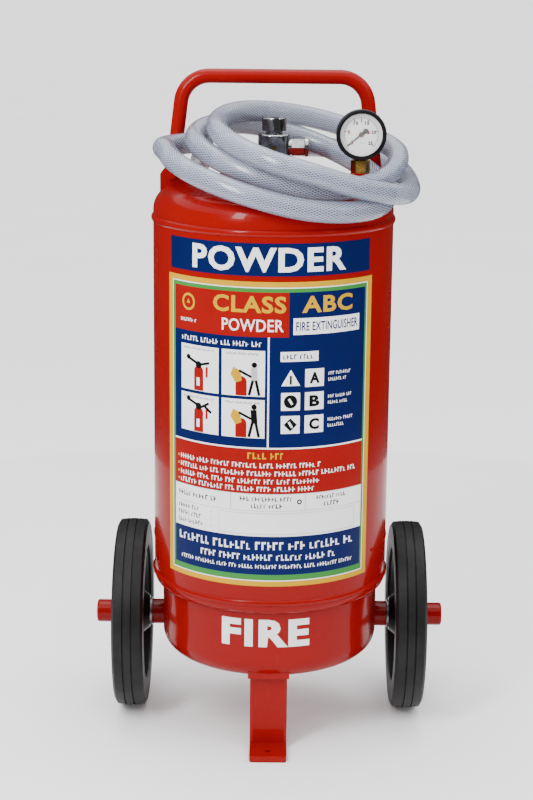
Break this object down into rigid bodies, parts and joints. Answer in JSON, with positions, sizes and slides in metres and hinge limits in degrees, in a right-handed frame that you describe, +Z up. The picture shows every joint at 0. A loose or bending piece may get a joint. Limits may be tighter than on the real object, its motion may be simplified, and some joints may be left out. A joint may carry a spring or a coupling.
{
  "type": "wheeled fire extinguisher",
  "caption": "Two-wheeled powder fire extinguisher: red cylinder with bar handle, front leg, pressure gauge, chrome valve and a coiled clear braided hose.",
  "frame": {"origin": "on the floor under the vessel's axis, midway between the toe and the back of the tyres", "axes": "+Z up along the vessel's axis, -Y towards the label and the front leg, +X along the axle to the right seen from the front"},
  "size_m": [0.46, 0.3502, 0.842],
  "materials": {
    "red_paint": "gloss",
    "white_metal": "satin",
    "chrome": "polished",
    "brass": "satin",
    "tyre": "matte",
    "black_plastic": "gloss",
    "rubber_seal": "matte",
    "hose": "semi gloss",
    "label": "gloss",
    "dial": "matte",
    "lens": "clear",
    "needle": "matte"
  },
  "bodies": {
    "frame": {"body_shell": "red_paint", "top_head": "red_paint", "bottom_head": "red_paint", "base_drum": "red_paint", "upper_weld_bead": "red_paint", "lower_weld_bead": "red_paint", "lower_seam_bead": "red_paint", "neck_ring": "red_paint", "gauge_boss": "red_paint", "front_leg": "red_paint", "leg_cap": "red_paint", "foot_plate": "red_paint", "axle_sleeve": "red_paint", "axle_caps": "red_paint", "handle_tube": "red_paint", "handle_lugs": "red_paint", "nozzle_clip": "red_paint", "axle": "white_metal", "axle_washers": "white_metal", "handle_bolts": "white_metal", "handle_nuts": "white_metal", "dip_tube": "white_metal", "hose_ferrule": "white_metal", "gun_ferrule": "white_metal", "gun_pin": "white_metal", "valve_body": "chrome", "valve_gland": "chrome", "valve_plate": "chrome", "charging_nut": "chrome", "charging_cap": "chrome", "hose_nut": "chrome", "gun_nut": "chrome", "relief_plug": "brass", "gauge_stem": "brass", "gauge_pivot": "brass", "gun_body": "brass", "gauge_case": "black_plastic", "gauge_bezel": "black_plastic", "gun_nozzle": "black_plastic", "neck_seal": "rubber_seal", "hose_lead": "hose", "hose_coil": "hose", "hose_tail": "hose", "name_band": "label", "main_label": "label", "gauge_dial": "dial", "gauge_lens": "lens"},
    "left_wheel_body": {"left_tyre": "tyre", "left_wheel": "black_plastic", "left_bush": "black_plastic"},
    "right_wheel_body": {"right_tyre": "tyre", "right_wheel": "black_plastic", "right_bush": "black_plastic"},
    "knob": {"valve_knob": "chrome", "valve_spindle": "white_metal"},
    "needle": {"gauge_needle": "needle"},
    "lever": {"gun_lever": "black_plastic"}
  },
  "joints": [
    {"name": "left_wheel_spin", "type": "hinge", "parent": "frame", "child": "left_wheel_body", "pos_m": [-0.182, 0.04, 0.124], "axis": [1, 0, 0], "continuous": true},
    {"name": "right_wheel_spin", "type": "hinge", "parent": "frame", "child": "right_wheel_body", "pos_m": [0.182, 0.04, 0.124], "axis": [1, 0, 0], "continuous": true},
    {"name": "valve_knob_turn", "type": "hinge", "parent": "frame", "child": "knob", "pos_m": [0, 0, 0.775], "axis": [0, 0, 1], "range_deg": [0, 270]},
    {"name": "gauge_needle_swing", "type": "hinge", "parent": "frame", "child": "needle", "pos_m": [0.105, -0.0566, 0.77], "axis": [0, 1, 0], "range_deg": [-3, 261]},
    {"name": "gun_lever_squeeze", "type": "hinge", "parent": "frame", "child": "lever", "pos_m": [-0.127, 0.134, 0.532], "axis": [0, 1, 0], "range_deg": [-6, 0], "stiffness_Nm_per_rad": 1}
  ]
}
